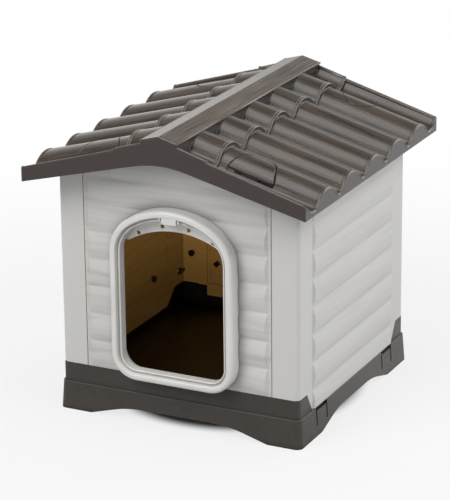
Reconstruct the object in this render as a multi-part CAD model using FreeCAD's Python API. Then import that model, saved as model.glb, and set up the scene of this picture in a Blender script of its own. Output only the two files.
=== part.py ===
import FreeCAD, Part
import math
import os
from FreeCAD import Vector

# An outdoor dog kennel of moulded plastic, in millimetres.
# +X is to the right seen from the front, the doorway faces -Y and +Z is up.
# The origin is on the ground under the middle of the kennel.

# Walls
wall_half_width = 227.0
wall_half_depth = 229.7
wall_thickness = 3.0
wall_corner_radius = 10.0
return_width = 49.0
joint_gap = 1.0
lap_inside = 7.0
lap_behind = 12.0
fit_gap = 0.3

# Board courses pressed into the walls
board_pitch = 50.0
board_groove = 2.0
board_bulge = 3.5
board_end_run = 5.0
board_first_groove = 86.0
side_strip_width = 57.0
end_board_margin = 6.0

# Base
foot_spread = 6.4
ledge_spread = 3.4
skirt_thickness = 2.4
base_corner_radius = 12.0
ledge_height = 51.5
ledge_thickness = 2.5
ledge_edge_radius = 1.2
channel_gap = 1.6
rim_height = 86.0
rim_thickness = 3.0
floor_height = 46.0
floor_thickness = 3.0
platform_rise = 3.0
platform_half_width = 163.0
platform_half_depth = 165.0
platform_corner_radius = 20.0
lip_height = 57.0
lip_thickness = 3.0
lip_lead = 15.0
ear_flat_from = 195.0
ear_foot_at = 175.0
front_foot_from = 171.0
front_arch_height = 20.5
side_foot_from = 145.0
side_arch_height = 19.5
arch_slope = 0.28
arch_radius = 190.0
snap_finger_inner = 122.0
snap_finger_outer = 164.0
snap_slit_width = 4.5
snap_slit_bottom = 18.5
snap_finger_height = 44.5

# Doorway
opening_half_width = 97.8
sill_height = 102.6
opening_bottom_radius = 28.0
arch_spring_height = 313.3
arch_side_radius = 55.5
arch_top_radius = 132.9
frame_depth = 28.0
frame_wall = 3.0
frame_flare = 19.0
frame_crest_width = 18.5
frame_bead_radius = 1.5
frame_bead_setback = 6.0
frame_groove_width = 2.4
frame_groove_depth = 1.0
frame_inner_edge_radius = 2.4
frame_outer_edge_radius = 6.4
frame_tube_depth = 16.0
frame_step = 6.0
frame_tail = 6.0
frame_hook_reach = 3.0
frame_hook_length = 24.0
frame_hook_heights = [157.0, 278.0]
frame_hook_offset = 20.0
frame_gap = 0.4
valance_drop_middle = 24.4
valance_edge_radius = 166.0
valance_end_height = 331.0
valance_lobe_radius = 6.0
valance_hole_radius = 3.6
valance_hole_spots = [(25.0, 363.5), (70.5, 346.5)]
bridge_half_width = 14.0
bridge_drop = 4.5
bridge_slot_width = 2.5

# Roof
roof_half_width = 265.4
roof_half_depth = 287.0
roof_pitch_degrees = 15.3
roof_thickness = 3.0
eave_valley_height = 436.5
tile_pitch = 100.0
tile_depth = 24.0
tile_valley_radius = 14.0
tiles_per_slope = 5
eave_bottom_height = 428.0
cove_rise = 17.0
trim_eave_rise = 17.5
trim_course_rise = 21.0
trim_step_rise = 23.6
trim_ridge_rise = 25.3
cap_rise = 31.0
trim_under_slope = 0.252
trim_arch_radius = 200.0
trim_corner_radius = 8.0
trim_edge_radius = 2.0
course_step = 6.5
course_end = 88.0
course_overlap = 4.0
lip_band = 4.0
lip_band_rise = 1.0
ridge_half_width = 34.0
ridge_bead_radius = 1.4
locating_rib_thickness = 3.0
locating_rib_depth = 16.0
locating_rib_from = 45.0
locating_rib_to = 160.0
roof_seat_gap = 0.35

# Roof latches, measured on the right slope at the front
latch_outer_y = 236.0
latch_low_corner_x = 184.5
latch_inner_corner = (171.0, 198.0)
latch_arc_middle = (148.0, 184.0)
latch_arc_end = (123.0, 196.0)
latch_top_middle = (111.0, 219.0)
latch_high_corner_x = 103.5
latch_seam = 1.3
latch_finger_slot = 5.0
latch_end_slit = 2.5
latch_axis_y = 208.0
latch_pin_radius = 1.5
latch_pin_cover = 0.9
pin_clearance = 0.06
latch_knuckle_radius = 3.4
latch_knuckle_length = 9.0
latch_lug_thickness = 4.0
latch_lug_half_width = 5.0
latch_tongue_width = 30.0
latch_tongue_thickness = 2.0
latch_tongue_setback = 0.4
latch_tongue_bottom = 27.0
latch_nose_reach = 0.7
latch_nose_height = 2.0
catch_width = 26.0
catch_reach = 2.6
catch_height = 6.0
catch_nose_gap = 1.0
latch_land_margin = 6.0
latch_land_course = 7

# Studs on the inner faces of the walls
stud_stem_radius = 3.0
stud_stem_gap = 0.05
stud_stem_length = 6.0
stud_head_radius = 6.2
stud_head_thickness = 4.0
stud_diamond_side = 9.6
stud_wing_length = 26.0
stud_wing_width = 6.0
stud_boss_radius = 5.0
stud_boss_height = 4.0
side_stud_y = 99.0
side_stud_height = 132.0
corner_stud_y = 207.0
corner_stud_height = 113.0
return_stud_x = 202.0
return_stud_height = 147.0
end_stud_x = 149.0
end_stud_height = 132.0

# Drain in the middle of the floor
drain_hole_radius = 14.0
drain_seat_radius = 20.0
drain_seat_depth = 2.0
drain_flange_radius = 18.5
drain_flange_thickness = 2.6
drain_seal_height = 1.0
drain_seal_width = 2.5
drain_stem_gap = 1.0
drain_stem_length = 12.0
drain_grip_height = 7.0
drain_grip_width = 4.0
drain_grip_length = 20.0

# Ventilator high in the back wall
vent_height = 396.0
vent_half_width = 75.0
vent_half_height = 27.0
vent_corner_radius = 8.0
vent_plate_thickness = 2.5
vent_tail_half_width = 64.0
vent_tail_half_height = 19.0
vent_tail_wall = 2.5
vent_tail_radius = 2.0
vent_rail_height = 3.0
vent_slots = 5
vent_slot_width = 10.0
vent_slot_height = 26.0
vent_slot_pitch = 22.0
shutter_thickness = 2.5
shutter_gap = 0.4
shutter_travel = 11.0
shutter_knob_reach = 8.0
shutter_knob_half_width = 3.0
shutter_knob_half_height = 8.5

# Sizes that follow from the driving dimensions
pitch = math.radians(roof_pitch_degrees)
slope = math.tan(pitch)
tile_crest_radius = ((tile_pitch ** 2 / 4 + tile_depth ** 2) / (2 * tile_depth)
                     - tile_valley_radius)
tile_arc_angle = math.asin(tile_pitch / 2 / (tile_crest_radius + tile_valley_radius))
outer_valley_y = tile_pitch * tiles_per_slope / 2
ridge_crest_height = eave_valley_height + tile_depth + roof_half_width * slope
board_stack_bottom = board_first_groove - board_pitch
board_count = math.ceil((ridge_crest_height - board_stack_bottom) / board_pitch)
joint_x = wall_half_width - return_width
latch_middle_x = (latch_low_corner_x + latch_high_corner_x) / 2
bite = 1.0
far = 600.0


# Plain shapes

def box(x0, x1, y0, y1, z0, z1):
    return Part.makeBox(x1 - x0, y1 - y0, z1 - z0, Vector(x0, y0, z0))


def fuse(shapes):
    return shapes[0].multiFuse(shapes[1:]).removeSplitter()


def mirror_x(shape):
    return shape.mirror(Vector(0, 0, 0), Vector(1, 0, 0))


def mirror_y(shape):
    return shape.mirror(Vector(0, 0, 0), Vector(0, 1, 0))


def four_corners(shape):
    left = mirror_x(shape)
    return [shape, left, mirror_y(shape), mirror_y(left)]


def rounded_rectangle(half_x, half_y, radius, z):
    """A closed wire in a level plane, with four equal corners."""
    edges = []
    corners = [(1, 1, 0), (-1, 1, 90), (-1, -1, 180), (1, -1, 270)]
    ends = []
    for sign_x, sign_y, start in corners:
        centre = Vector(sign_x * (half_x - radius), sign_y * (half_y - radius), z)
        arc = Part.makeCircle(radius, centre, Vector(0, 0, 1), start, start + 90)
        ends.append((arc.valueAt(arc.FirstParameter), arc.valueAt(arc.LastParameter)))
        edges.append(arc)
    for i in range(4):
        edges.append(Part.makeLine(ends[i][1], ends[(i + 1) % 4][0]))
    return Part.Wire(Part.__sortEdges__(edges))


def rounded_prism(half_x, half_y, radius, z0, z1):
    wire = rounded_rectangle(half_x, half_y, radius, z0)
    return Part.Face(wire).extrude(Vector(0, 0, z1 - z0))


def tapered_prism(spread0, z0, spread1, z1, inset):
    """The base's drafted body, `spread` outside the walls and `inset` inside that."""
    radius = base_corner_radius - inset
    wires = []
    for spread, z in ((spread0, z0), (spread1, z1)):
        wires.append(rounded_rectangle(wall_half_width + spread - inset,
                                       wall_half_depth + spread - inset, radius, z))
    return Part.makeLoft(wires, True, True)


def prism_xz(points, y0, y1):
    """A prism along Y over a polygon of (x, z) points."""
    corners = [Vector(x, y0, z) for x, z in points]
    return Part.Face(Part.makePolygon(corners + corners[:1])).extrude(Vector(0, y1 - y0, 0))


def prism_yz(points, x0, x1):
    """A prism along X over a polygon of (y, z) points."""
    corners = [Vector(x0, y, z) for y, z in points]
    return Part.Face(Part.makePolygon(corners + corners[:1])).extrude(Vector(x1 - x0, 0, 0))


def arc_through(first, middle, last):
    return Part.Arc(first, middle, last).toShape()


# The base

def arch_cut(foot_from, height):
    """The gap under a skirt as a face in the XZ plane, with rounded turns at the top."""
    slope_run = height / arch_slope
    lean = math.atan(arch_slope)
    setback = arch_radius * math.tan(lean / 2)
    knee = foot_from - slope_run
    down = (knee + setback * math.cos(lean), height - setback * math.sin(lean))
    level = (knee - setback, height)
    bend = (level[0] + arch_radius * math.sin(lean / 2),
            height - arch_radius * (1 - math.cos(lean / 2)))

    def at(point, sign):
        return Vector(sign * point[0], 0, point[1])

    foot = (foot_from, 0)
    under = (foot_from, -1)
    edges = []
    for sign in (-1, 1):
        edges.append(Part.makeLine(at(under, sign), at(foot, sign)))
        edges.append(Part.makeLine(at(foot, sign), at(down, sign)))
        edges.append(arc_through(at(down, sign), at(bend, sign), at(level, sign)))
    edges.append(Part.makeLine(at(level, -1), at(level, 1)))
    edges.append(Part.makeLine(at(under, -1), at(under, 1)))
    return Part.Face(Part.Wire(Part.__sortEdges__(edges)))


def arch_cuts():
    """The gaps under the front and back skirts and under both side skirts."""
    across = arch_cut(front_foot_from, front_arch_height)
    across.translate(Vector(0, -far, 0))
    lengthwise = arch_cut(side_foot_from, side_arch_height)
    lengthwise.rotate(Vector(0, 0, 0), Vector(0, 0, 1), 90)
    lengthwise.translate(Vector(-far, 0, 0))
    return [across.extrude(Vector(0, 2 * far, 0)), lengthwise.extrude(Vector(2 * far, 0, 0))]


def ear_outline(lead, rise):
    """The (y, z) outline of the base's raised corners and low middle, seen from the side.

    `lead` widens the raised corners towards the middle and `rise` lifts the low middle."""
    edge = [(far, rim_height), (ear_flat_from - lead / 4, rim_height),
            (ear_foot_at - lead, ledge_height + rise)]
    return edge + [(-y, z) for y, z in reversed(edge)]


def snap_finger_cuts():
    """The slits beside each snap finger, the gap above it and the gap behind its top."""
    cuts = []
    reach = far
    start = wall_half_width - rim_thickness
    for inner in (snap_finger_inner, snap_finger_outer):
        cuts.append(box(start, reach, inner - snap_slit_width / 2, inner + snap_slit_width / 2,
                        snap_slit_bottom, ledge_height + bite))
    cuts.append(box(start, reach, snap_finger_inner, snap_finger_outer,
                    snap_finger_height, ledge_height + bite))
    behind = wall_half_width + ledge_spread - skirt_thickness
    cuts.append(box(start, behind, snap_finger_inner, snap_finger_outer,
                    floor_height - floor_thickness - bite, ledge_height + bite))
    return cuts


def drain_well():
    """The drain's hole and its seat, as the solid that is cut from the floor."""
    top = floor_height + platform_rise
    hole = Part.makeCylinder(drain_hole_radius, top + bite)
    seat = Part.makeCylinder(drain_seat_radius, drain_seat_depth + bite,
                             Vector(0, 0, top - drain_seat_depth))
    return hole.fuse(seat)


def drain_collar():
    """The thicker ring of floor that carries the drain's seat."""
    top = floor_height + platform_rise
    depth = drain_seat_depth + floor_thickness
    return Part.makeCylinder(drain_seat_radius + floor_thickness, depth, Vector(0, 0, top - depth))


def base_tray():
    body = tapered_prism(foot_spread, 0, ledge_spread, ledge_height, 0)
    top_edges = [edge for edge in body.Edges if edge.BoundBox.ZMin > ledge_height - bite]
    body = body.makeFillet(ledge_edge_radius, top_edges)
    hollow = tapered_prism(foot_spread, 0, ledge_spread, ledge_height, skirt_thickness)
    skirt = body.cut(hollow)
    under_floor = floor_height - floor_thickness
    floor = body.common(box(-far, far, -far, far, under_floor, floor_height))
    raised = rounded_prism(platform_half_width, platform_half_depth, platform_corner_radius,
                           floor_height - bite, floor_height + platform_rise)
    under_raised = rounded_prism(platform_half_width - floor_thickness,
                                 platform_half_depth - floor_thickness,
                                 platform_corner_radius - floor_thickness,
                                 under_floor - bite, under_floor + platform_rise)
    ledge = body.common(box(-far, far, -far, far, ledge_height - ledge_thickness, ledge_height))
    inside = rounded_prism(wall_half_width - rim_thickness, wall_half_depth - rim_thickness,
                           wall_corner_radius - rim_thickness, floor_height - bite, rim_height + bite)
    rim = rounded_prism(wall_half_width, wall_half_depth, wall_corner_radius,
                        floor_height - bite, rim_height)
    # Between the raised corners the side panels take the rim's place.
    low_middle = ear_outline(0, 0) + [(-far, far), (far, far)]
    side_gap = prism_yz(low_middle, wall_half_width - rim_thickness, far)
    channel = box(wall_half_width - rim_thickness - fit_gap, wall_half_width + channel_gap,
                  -ear_foot_at, ear_foot_at, floor_height, ledge_height + bite)
    ring = fuse([ledge, rim]).cut(inside)
    tray = fuse([skirt, floor, raised, ring, drain_collar()])
    tray = tray.cut(under_raised.cut(drain_collar()))
    for gap in (side_gap, channel):
        tray = tray.cut(gap).cut(mirror_x(gap))
    tray = tray.fuse(inner_lips()).removeSplitter()
    for arch in arch_cuts():
        tray = tray.cut(arch)
    for cut in snap_finger_cuts():
        tray = tray.cut(Part.makeCompound(four_corners(cut)))
    return tray.cut(drain_well())


def inner_lips():
    """The low inner walls that stand behind the foot of each side panel."""
    outer = wall_half_width - rim_thickness - fit_gap
    edge = ear_outline(lip_lead, lip_height - ledge_height)
    points = [(y, z) for y, z in edge if abs(y) < far]
    end = wall_half_depth - rim_thickness
    points = ([(end, floor_height - bite), (end, rim_height)] + points
              + [(-end, rim_height), (-end, floor_height - bite)])
    lip = prism_yz(points, outer - lip_thickness, outer)
    corner = box(outer - bite, wall_half_width - rim_thickness + bite, ear_flat_from, end + bite,
                 floor_height - bite, rim_height)
    lips = [lip, mirror_x(lip)] + four_corners(corner)
    return fuse(lips)


# The walls

def board_stack(half_length, shift):
    """Convex board courses on the plane x = 0, running along Y, with eased ends.

    `shift` moves the courses inward, which gives the hollows behind them."""
    edges = []
    back = -shift - bite
    start = Vector(back, 0, board_stack_bottom)
    last = start
    for course in range(board_count):
        low = board_stack_bottom + course * board_pitch + board_groove / 2
        high = low + board_pitch - board_groove
        foot = Vector(-shift, 0, low)
        head = Vector(-shift, 0, high)
        if course == 0:
            corner = Vector(-shift, 0, board_stack_bottom)
            edges.append(Part.makeLine(last, corner))
            last = corner
        edges.append(Part.makeLine(last, foot))
        edges.append(arc_through(foot, Vector(board_bulge - shift, 0, (low + high) / 2), head))
        last = head
    end = Vector(back, 0, last.z)
    edges.append(Part.makeLine(last, end))
    edges.append(Part.makeLine(end, start))
    face = Part.Face(Part.Wire(edges))
    face.translate(Vector(0, -half_length, 0))
    courses = face.extrude(Vector(0, 2 * half_length, 0))
    ends = [Vector(back - bite, -half_length, 0), Vector(-shift, -half_length, 0),
            Vector(board_bulge - shift, -half_length + board_end_run, 0),
            Vector(board_bulge - shift, half_length - board_end_run, 0),
            Vector(-shift, half_length, 0), Vector(back - bite, half_length, 0)]
    plan = Part.Face(Part.makePolygon(ends + ends[:1])).extrude(Vector(0, 0, 2 * far))
    return courses.common(plan)


def above_roof_line(drop, y0, y1):
    """Everything above both slopes, `drop` under the line of the tile crests."""
    top = ridge_crest_height - drop
    points = [(0, top), (far, top - far * slope), (far, 3 * far), (-far, 3 * far),
              (-far, top - far * slope)]
    return prism_xz(points, y0, y1)


def tile_drop(y, depth):
    """How far the tiles' surface lies under the line of their crests at `y`.

    `depth` is 0 for the outer surface and the sheet's thickness for the inner one."""
    from_crest = abs(abs(y) - round(abs(y) / tile_pitch) * tile_pitch)
    if abs(y) > outer_valley_y:
        from_crest = tile_pitch / 2
    crest = tile_crest_radius - depth
    if from_crest < crest * math.sin(tile_arc_angle):
        return tile_crest_radius - math.sqrt(crest ** 2 - from_crest ** 2)
    valley = tile_valley_radius + depth
    from_valley = tile_pitch / 2 - from_crest
    rise = tile_valley_radius - math.sqrt(valley ** 2 - from_valley ** 2)
    return tile_depth - rise


skin_height = roof_thickness / math.cos(pitch)
side_wall_drop = tile_drop(outer_valley_y, roof_thickness) + roof_seat_gap
end_wall_drop = tile_drop(wall_half_depth, roof_thickness) + roof_seat_gap
end_board_drop = tile_drop(wall_half_depth + board_bulge, roof_thickness) + roof_seat_gap


def stud_bore(at, inward):
    """A stud's hole, from the top of its boss into the boss."""
    top = at + inward * stud_boss_height
    return Part.makeCylinder(stud_stem_radius + stud_stem_gap, stud_stem_length, top, -inward)


def stud_boss(at, inward, reach):
    """The boss that carries a stud, from its top through the wall by `reach`."""
    top = at + inward * stud_boss_height
    return Part.makeCylinder(stud_boss_radius, stud_boss_height + reach, top, -inward)


def side_studs():
    """Where the studs of the right-hand panel sit: place, inward direction and kind."""
    inner_x = wall_half_width - wall_thickness
    inner_y = wall_half_depth - wall_thickness
    spots = []
    for sign in (-1, 1):
        spots.append((Vector(inner_x, sign * side_stud_y, side_stud_height),
                      Vector(-1, 0, 0), "round"))
        spots.append((Vector(inner_x, sign * corner_stud_y, corner_stud_height),
                      Vector(-1, 0, 0), "winged"))
        spots.append((Vector(return_stud_x, sign * inner_y, return_stud_height),
                      Vector(0, -sign, 0), "round"))
    return spots


def end_studs():
    """Where the studs of the front panel sit: place, inward direction and kind."""
    inner_y = -(wall_half_depth - wall_thickness)
    return [(Vector(sign * end_stud_x, inner_y, end_stud_height), Vector(0, 1, 0), "diamond")
            for sign in (-1, 1)]


def add_bosses(panel, hollow, spots):
    """Cuts the hollows behind the boards, leaving a boss with a bore at every stud."""
    reach = wall_thickness + board_bulge
    for at, inward, kind in spots:
        hollow = hollow.cut(stud_boss(at, inward, reach))
    panel = panel.cut(hollow)
    for at, inward, kind in spots:
        panel = panel.fuse(stud_boss(at, inward, wall_thickness / 2))
    for at, inward, kind in spots:
        panel = panel.cut(stud_bore(at, inward))
    return panel.removeSplitter()


def right_side_panel():
    """A side wall with both of its corners, standing in the base's channel."""
    outer = rounded_prism(wall_half_width, wall_half_depth, wall_corner_radius, 0, 2 * far)
    inner = rounded_prism(wall_half_width - wall_thickness, wall_half_depth - wall_thickness,
                          wall_corner_radius - wall_thickness, 0, 2 * far)
    shell = outer.cut(inner).common(box(joint_x, far, -far, far, 0, 2 * far))
    half_length = wall_half_depth - side_strip_width
    boards = board_stack(half_length, 0)
    boards.translate(Vector(wall_half_width, 0, 0))
    hollow = board_stack(half_length - wall_thickness, wall_thickness)
    hollow.translate(Vector(wall_half_width, 0, 0))
    boards = boards.cut(box(wall_half_width, far, -far, far, 0, ledge_height + 2 * fit_gap))
    panel = add_bosses(shell.fuse(boards), hollow, side_studs())
    foot = ear_outline(fit_gap, 0)
    foot = [(y, z + fit_gap) for y, z in foot]
    low_edge = floor_height + fit_gap
    reach = ear_foot_at - fit_gap
    under = prism_yz([(far, 0), foot[0], foot[1], (reach, foot[2][1]), (reach, low_edge),
                      (-reach, low_edge), (-reach, foot[3][1]), foot[4], foot[5], (-far, 0)],
                     0, far)
    panel = panel.cut(under)
    for sign in (-1, 1):
        y0, y1 = sorted((sign * (snap_finger_inner - snap_slit_width),
                         sign * (snap_finger_outer + snap_slit_width)))
        panel = panel.cut(box(0, far, y0, y1, 0, ledge_height))
    end_inner = wall_half_depth - wall_thickness
    panel = panel.cut(above_roof_line(side_wall_drop, -end_inner, end_inner))
    return panel.cut(above_roof_line(end_wall_drop, -far, far))


def end_panel(stud_spots):
    """A gable wall that faces -Y, with its laps behind the side panels and the rim."""
    face_y = -wall_half_depth
    back_y = face_y + wall_thickness
    half = joint_x - joint_gap
    panel = box(-half, half, face_y, back_y, rim_height + fit_gap, 2 * far)
    half_length = half - end_board_margin
    turn = FreeCAD.Rotation(Vector(0, 0, 1), -90)
    boards = board_stack(half_length, 0)
    hollow = board_stack(half_length - wall_thickness, wall_thickness)
    for stack in (boards, hollow):
        stack.Placement = FreeCAD.Placement(Vector(0, face_y, 0), turn)
    boards = boards.cut(box(-far, far, -far, far, 0, rim_height + board_groove))
    hollow = hollow.cut(box(-far, far, -far, far, 0, rim_height + 2 * wall_thickness))
    lands = latch_lands()
    boards = boards.cut(lands).cut(above_roof_line(end_board_drop, -far, far))
    hollow = hollow.cut(lands).cut(above_roof_line(end_board_drop + 2 * wall_thickness, -far, far))
    panel = add_bosses(panel.fuse(boards), hollow, stud_spots)
    lap_y = back_y + fit_gap
    for sign in (-1, 1):
        x0, x1 = sorted((sign * (joint_x - lap_inside), sign * (joint_x + lap_behind)))
        panel = panel.fuse(box(x0, x1, lap_y, lap_y + wall_thickness,
                               rim_height + fit_gap, 2 * far))
        x0, x1 = sorted((sign * (joint_x - lap_inside), sign * half))
        panel = panel.fuse(box(x0, x1, back_y, lap_y, rim_height + fit_gap, 2 * far))
    tongue_half = joint_x - lap_inside
    tongue_low = (floor_height + rim_height) / 2
    tongue_high = rim_height + wall_thickness
    panel = panel.fuse(box(-tongue_half, tongue_half, lap_y, lap_y + wall_thickness,
                           tongue_low, tongue_high))
    panel = panel.fuse(box(-tongue_half, tongue_half, back_y, lap_y,
                           rim_height + fit_gap, tongue_high))
    panel = panel.cut(above_roof_line(end_wall_drop, -far, far))
    for catch in latch_catches():
        panel = panel.fuse(catch)
    return panel.removeSplitter()


def doorway_prism(grow, y0, y1):
    wire = doorway_wire(grow, y0)
    return Part.Face(wire).extrude(Vector(0, y1 - y0, 0))


def front_panel():
    """The gable wall with the doorway, flat where the door frame lies on it."""
    panel = end_panel(end_studs())
    flat = doorway_prism(frame_flare + fit_gap, -far, -wall_half_depth)
    filled = doorway_prism(frame_flare + bite, -wall_half_depth,
                           -wall_half_depth + wall_thickness)
    filled = filled.cut(box(-far, far, -far, far, 0, rim_height + fit_gap))
    panel = panel.cut(flat).fuse(filled)
    opening = doorway_prism(frame_step + frame_wall + frame_gap, -far, 0)
    return panel.cut(opening).removeSplitter()


def back_panel():
    """The closed gable wall, with the opening for its ventilator."""
    panel = end_panel(end_studs())
    face_y = -wall_half_depth
    half_width = vent_half_width + board_groove
    half_height = vent_half_height + board_groove
    flat = vent_block(half_width, half_height, vent_corner_radius, -far, face_y)
    filled = vent_block(half_width, half_height, vent_corner_radius, face_y,
                        face_y + wall_thickness)
    hole = vent_block(vent_tail_half_width + frame_gap, vent_tail_half_height + frame_gap,
                      vent_tail_radius, -far, 0)
    panel = panel.cut(flat).fuse(filled).cut(hole).removeSplitter()
    return mirror_y(panel)


# The door frame

def doorway_wire(grow, y):
    """The doorway's outline, `grow` outside the clear opening, from the middle of the sill."""
    half = opening_half_width + grow
    sill = sill_height - grow
    low = opening_bottom_radius + grow
    side = arch_side_radius + grow
    top = arch_top_radius + grow
    lean = math.asin((opening_half_width - arch_side_radius)
                     / (arch_top_radius - arch_side_radius))
    top_centre_z = arch_spring_height - (arch_top_radius - arch_side_radius) * math.cos(lean)
    side_centre_x = half - side
    tangent = (top * math.sin(lean), top_centre_z + top * math.cos(lean))
    halfway = math.pi / 4 - lean / 2
    shoulder = (side_centre_x + side * math.cos(halfway),
                arch_spring_height + side * math.sin(halfway))
    diagonal = math.sqrt(0.5)
    low_middle = (half - low + low * diagonal, sill + low - low * diagonal)

    def at(x, z):
        return Vector(x, y, z)

    right = [Part.makeLine(at(0, sill), at(half - low, sill)),
             arc_through(at(half - low, sill), at(*low_middle), at(half, sill + low)),
             Part.makeLine(at(half, sill + low), at(half, arch_spring_height)),
             arc_through(at(half, arch_spring_height), at(*shoulder), at(*tangent))]
    crown = arc_through(at(*tangent), at(0, top_centre_z + top), at(-tangent[0], tangent[1]))
    left = [Part.makeLine(at(-half + low, sill), at(0, sill)),
            arc_through(at(-half, sill + low), at(-low_middle[0], low_middle[1]),
                        at(-half + low, sill)),
            Part.makeLine(at(-half, arch_spring_height), at(-half, sill + low)),
            arc_through(at(-tangent[0], tangent[1]), at(-shoulder[0], shoulder[1]),
                        at(-half, arch_spring_height))]
    return Part.Wire(right + [crown] + left[::-1])


def frame_section():
    """The moulding's section on the plane x = 0, below the sill, as a closed wire."""
    wall_y = -wall_half_depth
    front_y = wall_y - frame_depth
    bead_y = front_y + frame_bead_setback
    base_y = bead_y + frame_bead_radius
    step_y = bead_y + frame_tube_depth
    tail_y = wall_y + frame_tail
    inner = frame_inner_edge_radius
    outer = frame_outer_edge_radius
    bead_out = 2 * frame_bead_radius
    groove_out = bead_out + frame_groove_width
    crest_from = groove_out + frame_groove_depth
    under_y = base_y + frame_wall
    mitre = 1 - math.sqrt(0.5)

    def at(out, y):
        return Vector(0, y, sill_height - out)

    points = {
        "tail_in": at(frame_step, tail_y), "step_in": at(frame_step, step_y),
        "tube_in": at(0, step_y), "bead_in": at(0, base_y),
        "bead_top": at(frame_bead_radius, bead_y), "bead_out": at(bead_out, base_y),
        "groove": at(groove_out, base_y + frame_groove_depth),
        "riser": at(crest_from, front_y + inner),
        "riser_turn": at(crest_from + mitre * inner, front_y + mitre * inner),
        "crest_in": at(crest_from + inner, front_y),
        "crest_out": at(frame_crest_width - outer, front_y),
        "edge_turn": at(frame_crest_width - mitre * outer, front_y + mitre * outer),
        "edge": at(frame_crest_width, front_y + outer),
        "skirt": at(frame_flare, wall_y - fit_gap),
        "skirt_in": at(frame_flare - frame_wall, wall_y - fit_gap),
        "under_edge": at(frame_crest_width - frame_wall, front_y + outer),
        "under_turn": at(frame_crest_width - outer, front_y + frame_wall),
        "under_crest": at(crest_from + frame_wall, front_y + frame_wall),
        "under_riser": at(crest_from + frame_wall, under_y),
        "tube": at(frame_wall, under_y), "tube_out": at(frame_wall, step_y - frame_wall),
        "step_out": at(frame_step + frame_wall, step_y - frame_wall),
        "tail_out": at(frame_step + frame_wall, tail_y)}

    def line(first, last):
        return Part.makeLine(points[first], points[last])

    def arc(first, middle, last):
        return arc_through(points[first], points[middle], points[last])

    return Part.Wire([
        line("tail_in", "step_in"), line("step_in", "tube_in"),
        line("tube_in", "bead_in"), arc("bead_in", "bead_top", "bead_out"),
        line("bead_out", "groove"), line("groove", "riser"),
        arc("riser", "riser_turn", "crest_in"), line("crest_in", "crest_out"),
        arc("crest_out", "edge_turn", "edge"), line("edge", "skirt"),
        line("skirt", "skirt_in"), line("skirt_in", "under_edge"),
        line("under_edge", "under_turn"), line("under_turn", "under_crest"),
        line("under_crest", "under_riser"), line("under_riser", "tube"),
        line("tube", "tube_out"), line("tube_out", "step_out"),
        line("step_out", "tail_out"), line("tail_out", "tail_in")])


def valance():
    """The perforated plate across the top of the doorway."""
    wall_y = -wall_half_depth
    plate = doorway_prism(frame_step + frame_wall / 2, wall_y - frame_wall / 2,
                          wall_y + frame_wall / 2)
    crown_z = doorway_prism(0, 0, 1).BoundBox.ZMax
    edge_z = crown_z - valance_drop_middle
    disc = Part.makeCylinder(valance_edge_radius, 2 * far,
                             Vector(0, -far, edge_z - valance_edge_radius), Vector(0, 1, 0))
    plate = plate.cut(disc)
    plate = plate.cut(box(-far, far, -far, far, 0, valance_end_height))
    lobes = [edge for edge in plate.Edges
             if abs(edge.BoundBox.ZMax - valance_end_height) < 0.01
             and edge.BoundBox.YLength > frame_wall / 2
             and abs(edge.BoundBox.XMax) < opening_half_width - bite]
    plate = plate.makeFillet(valance_lobe_radius, lobes)
    for x, z in valance_hole_spots:
        hole = Part.makeCylinder(valance_hole_radius, 2 * far, Vector(x, -far, z),
                                 Vector(0, 1, 0))
        plate = plate.cut(hole).cut(mirror_x(hole))
    return plate


def frame_hooks():
    """Snap hooks on the frame's tail, which hold behind the front panel."""
    back_y = -wall_half_depth + wall_thickness + fit_gap
    tail_y = -wall_half_depth + frame_tail
    outer = opening_half_width + frame_step + frame_wall
    low = sill_height - frame_step - frame_wall
    hooks = []
    for z in frame_hook_heights:
        hooks.append(box(outer - bite, outer + frame_hook_reach, back_y, tail_y,
                         z, z + frame_hook_length))
    hooks.append(box(frame_hook_offset, frame_hook_offset + frame_hook_length, back_y, tail_y,
                     low - frame_hook_reach, low + bite))
    return hooks + [mirror_x(hook) for hook in hooks]


def frame_bridge():
    """The tab across the groove over the doorway, with a narrow slot and a rib beside it."""
    front_y = -wall_half_depth - frame_depth + bite
    back_y = front_y + frame_bead_setback + frame_bead_radius
    riser = 2 * frame_bead_radius + frame_groove_width + frame_groove_depth
    band = doorway_prism(riser + frame_wall / 2, front_y, back_y)
    band = band.cut(doorway_prism(frame_wall / 2, front_y, back_y))
    rib_from = bridge_half_width + bridge_slot_width
    middle = box(-bridge_half_width, bridge_half_width, -far, far, arch_spring_height, far)
    beside = box(rib_from, rib_from + bridge_slot_width, -far, far, arch_spring_height, far)
    crown_z = doorway_prism(0, 0, 1).BoundBox.ZMax
    tab = doorway_prism(riser, front_y, front_y + frame_wall)
    tab = tab.common(box(-bridge_half_width, bridge_half_width, -far, far,
                         crown_z - bridge_drop, far))
    return [tab] + [band.common(cut) for cut in (middle, beside, mirror_x(beside))]


def door_frame():
    """The moulded surround of the doorway, snapped into the front panel."""
    path = doorway_wire(0, -wall_half_depth)
    ring = path.makePipeShell([frame_section()], True, False)
    return fuse([ring, valance()] + frame_bridge() + frame_hooks())


# The roof

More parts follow.
